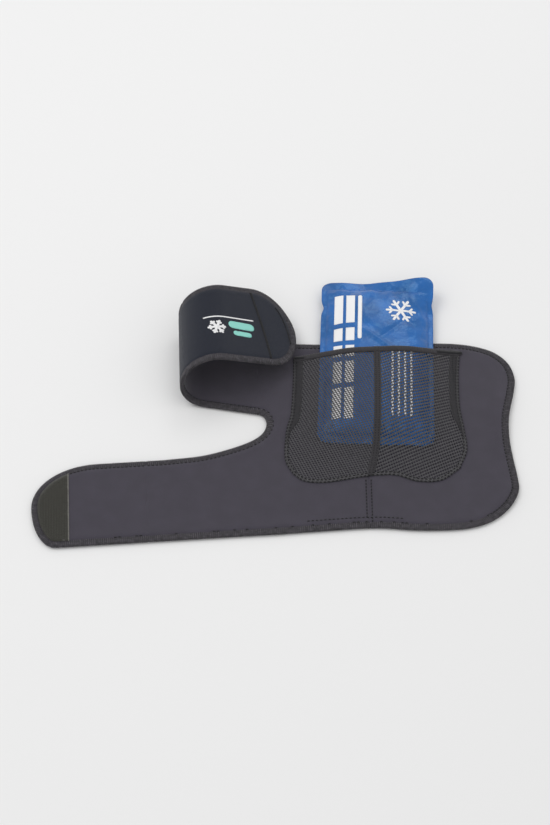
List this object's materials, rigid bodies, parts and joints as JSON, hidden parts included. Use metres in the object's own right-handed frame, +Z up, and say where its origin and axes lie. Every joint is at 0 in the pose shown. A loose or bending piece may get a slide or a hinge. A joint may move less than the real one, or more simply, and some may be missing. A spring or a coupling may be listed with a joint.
{
  "type": "cold compression wrap",
  "caption": "Soft neoprene wrap with two long hook-ended straps and a mesh pocket holding a removable cold gel pack.",
  "frame": {"origin": "on the centre seam, at the middle of the panel height, in the plane the wrap lies on", "axes": "+X from the straps to the free end of the panel, +Y towards the mouth of the pocket, +Z up out of the lining"},
  "size_m": [0.4521, 0.3129, 0.0532],
  "materials": {
    "lining": "fine knitted jersey, matt",
    "foam": "closed-cell foam core",
    "loop_face": "brushed loop fabric",
    "edge_thread": "overlocked thread",
    "mesh": "open knitted mesh",
    "mouth_tape": "folded knitted tape",
    "sewing_thread": "sewing thread",
    "hook_tape": "woven tape with moulded hooks",
    "badge": "flat print",
    "film": "glossy soft film",
    "gel": "soft gel",
    "print": "flat print"
  },
  "bodies": {
    "panel": {"panel_left_lining": "lining", "panel_left_foam": "foam", "panel_left_loop_face": "loop_face", "panel_right_lining": "lining", "panel_right_foam": "foam", "panel_right_loop_face": "loop_face", "panel_edge_binding": "edge_thread", "centre_seam_stitching": "sewing_thread", "pocket_mesh_left": "mesh", "pocket_mesh_right": "mesh", "pocket_mouth_binding": "mouth_tape", "pocket_edge_stitching": "sewing_thread", "pocket_bar_tacks": "sewing_thread", "upper_strap_root_lining": "lining", "upper_strap_root_foam": "foam", "upper_strap_root_loop_face": "loop_face", "upper_strap_root_binding": "edge_thread"},
    "upper_strap_curl": {"upper_strap_curl_lining": "lining", "upper_strap_curl_foam": "foam", "upper_strap_curl_loop_face": "loop_face", "upper_strap_curl_binding": "edge_thread"},
    "upper_strap_crown": {"upper_strap_crown_lining": "lining", "upper_strap_crown_foam": "foam", "upper_strap_crown_loop_face": "loop_face", "upper_strap_crown_binding": "edge_thread"},
    "upper_strap_flap": {"upper_strap_flap_lining": "lining", "upper_strap_flap_foam": "foam", "upper_strap_flap_loop_face": "loop_face", "upper_strap_flap_binding": "edge_thread", "upper_hook_patch": "hook_tape", "upper_hook_stitching": "sewing_thread", "strap_badge": "badge"},
    "lower_strap_inner": {"lower_strap_inner_lining": "lining", "lower_strap_inner_foam": "foam", "lower_strap_inner_loop_face": "loop_face", "lower_strap_inner_binding": "edge_thread"},
    "lower_strap_middle": {"lower_strap_middle_lining": "lining", "lower_strap_middle_foam": "foam", "lower_strap_middle_loop_face": "loop_face", "lower_strap_middle_binding": "edge_thread"},
    "lower_strap_end": {"lower_strap_end_lining": "lining", "lower_strap_end_foam": "foam", "lower_strap_end_loop_face": "loop_face", "lower_strap_end_binding": "edge_thread", "lower_hook_patch": "hook_tape", "lower_hook_stitching": "sewing_thread"},
    "end_wing": {"end_wing_lining": "lining", "end_wing_foam": "foam", "end_wing_loop_face": "loop_face", "end_wing_binding": "edge_thread"},
    "gel_pack": {"gel_pack_back_film": "film", "gel_pack_front_film": "film", "gel_filling": "gel", "gel_pack_print": "print"}
  },
  "joints": [
    {"name": "upper_strap_unroll", "type": "hinge", "parent": "panel", "child": "upper_strap_curl", "pos_m": [-0.17181, 0.08248, 0.00301], "axis": [0.0436, -0.999, 0], "range_deg": [0, 58]},
    {"name": "upper_strap_unroll_crown", "type": "hinge", "parent": "upper_strap_curl", "child": "upper_strap_crown", "pos_m": [-0.18325, 0.08675, 0.0225], "axis": [0.0436, -0.999, 0], "range_deg": [0, 58]},
    {"name": "upper_strap_unroll_flap", "type": "hinge", "parent": "upper_strap_crown", "child": "upper_strap_flap", "pos_m": [-0.16831, 0.09402, 0.04891], "axis": [0.0436, -0.999, 0], "range_deg": [0, 58]},
    {"name": "lower_strap_lift", "type": "hinge", "parent": "panel", "child": "lower_strap_inner", "pos_m": [-0.122, -0.069, 0.004], "axis": [-0.0732, 0.9973, 0], "range_deg": [0, 60]},
    {"name": "lower_strap_bend_middle", "type": "hinge", "parent": "lower_strap_inner", "child": "lower_strap_middle", "pos_m": [-0.17984, -0.07325, 0.004], "axis": [-0.0732, 0.9973, 0], "range_deg": [0, 60]},
    {"name": "lower_strap_bend_end", "type": "hinge", "parent": "lower_strap_middle", "child": "lower_strap_end", "pos_m": [-0.23769, -0.0775, 0.004], "axis": [-0.0732, 0.9973, 0], "range_deg": [0, 60]},
    {"name": "end_wing_fold", "type": "hinge", "parent": "panel", "child": "end_wing", "pos_m": [0.097, 0, 0.004], "axis": [0, -1, 0], "range_deg": [0, 75]},
    {"name": "gel_pack_slide", "type": "slide", "parent": "panel", "child": "gel_pack", "axis": [0.0384, 0.9993, 0], "range_m": [0, 0.13]}
  ],
  "couplings": [
    {"joint": "upper_strap_unroll_crown", "follows": "upper_strap_unroll", "ratio": 1},
    {"joint": "upper_strap_unroll_flap", "follows": "upper_strap_unroll", "ratio": 1},
    {"joint": "lower_strap_bend_middle", "follows": "lower_strap_lift", "ratio": 1},
    {"joint": "lower_strap_bend_end", "follows": "lower_strap_lift", "ratio": 1}
  ]
}
